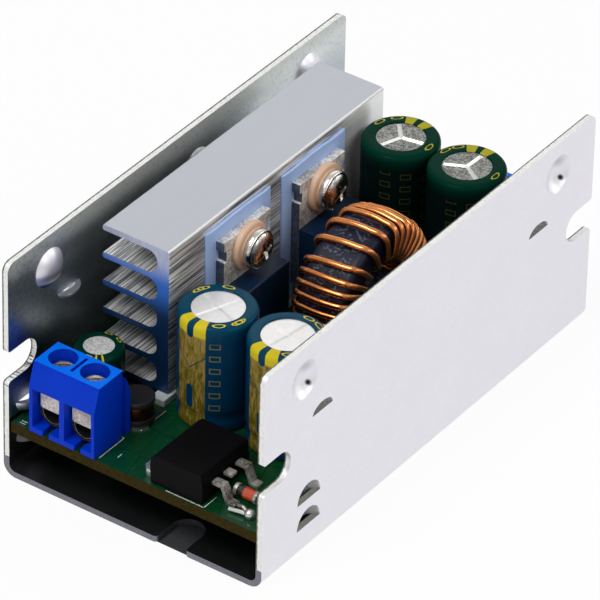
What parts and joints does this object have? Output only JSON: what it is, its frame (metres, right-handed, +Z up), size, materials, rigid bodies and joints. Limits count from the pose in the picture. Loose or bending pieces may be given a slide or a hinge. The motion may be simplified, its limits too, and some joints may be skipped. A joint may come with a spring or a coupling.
{
  "type": "buck converter module",
  "caption": "Open-frame buck converter in a folded aluminium U channel, with a finned heatsink, clamped power devices, a wound ring choke, can capacitors and screw terminals",
  "frame": {"origin": "middle of the case's underside", "axes": "X across the case, +Y from the input terminal end to the output terminal end, +Z up from the case's floor"},
  "size_m": [0.041, 0.074, 0.033],
  "materials": {
    "case_sheet": "satin",
    "board": "green solder mask over glass-fibre laminate",
    "heatsink_metal": "extruded, brushed",
    "tinned_metal": "tinned, satin",
    "thermal_rubber": "matte, light blue",
    "tab_metal": "nickel plated, satin",
    "black_moulding": "fine matte",
    "bushing_plastic": "satin, tan",
    "screw_metal": "nickel plated, bright",
    "terminal_plastic": "semi-gloss, blue",
    "can_metal": "matte",
    "teal_sleeve": "glossy shrunk film",
    "green_sleeve": "glossy shrunk film",
    "bung_rubber": "matte",
    "core_coating": "black coating over powdered iron",
    "copper_wire": "enamelled copper, glossy",
    "ferrite": "matte",
    "diode_glass": "glossy, orange with a dark band",
    "resistor_ceramic": "matte",
    "capacitor_ceramic": "matte"
  },
  "bodies": {
    "root": {"case_channel": "case_sheet", "circuit_board": "board", "heatsink": "heatsink_metal", "heatsink_rail": "tinned_metal", "thermal_pad_front": "thermal_rubber", "thermal_pad_rear": "thermal_rubber", "device_tab_front": "tab_metal", "device_tab_rear": "tab_metal", "device_body_front": "black_moulding", "device_body_rear": "black_moulding", "device_leads_front": "tinned_metal", "device_leads_rear": "tinned_metal", "bushing_front": "bushing_plastic", "bushing_rear": "bushing_plastic", "device_screws": "screw_metal", "input_terminal_housing": "terminal_plastic", "input_terminal_cages": "tinned_metal", "input_terminal_screws": "screw_metal", "input_terminal_pins": "tinned_metal", "output_terminal_housing": "terminal_plastic", "output_terminal_cages": "tinned_metal", "output_terminal_screws": "screw_metal", "output_terminal_pins": "tinned_metal", "input_cap_left_can": "can_metal", "input_cap_left_sleeve": "teal_sleeve", "input_cap_left_bung": "bung_rubber", "input_cap_left_leads": "tinned_metal", "input_cap_right_can": "can_metal", "input_cap_right_sleeve": "teal_sleeve", "input_cap_right_bung": "bung_rubber", "input_cap_right_leads": "tinned_metal", "output_cap_left_can": "can_metal", "output_cap_left_sleeve": "green_sleeve", "output_cap_left_bung": "bung_rubber", "output_cap_left_leads": "tinned_metal", "output_cap_right_can": "can_metal", "output_cap_right_sleeve": "green_sleeve", "output_cap_right_bung": "bung_rubber", "output_cap_right_leads": "tinned_metal", "bias_cap_can": "can_metal", "bias_cap_sleeve": "green_sleeve", "bias_cap_bung": "bung_rubber", "bias_cap_leads": "tinned_metal", "choke_core": "core_coating", "choke_winding": "copper_wire", "rectifier_body": "black_moulding", "rectifier_tab": "tinned_metal", "rectifier_leads": "tinned_metal", "drum_coil_core": "ferrite", "drum_coil_winding": "copper_wire", "drum_coil_base": "tinned_metal", "diode_glass": "diode_glass", "diode_ends": "tinned_metal", "jumper_wire": "tinned_metal", "controller_body": "black_moulding", "controller_leads": "tinned_metal", "chip_resistors": "resistor_ceramic", "chip_capacitors": "capacitor_ceramic"}
  },
  "joints": []
}
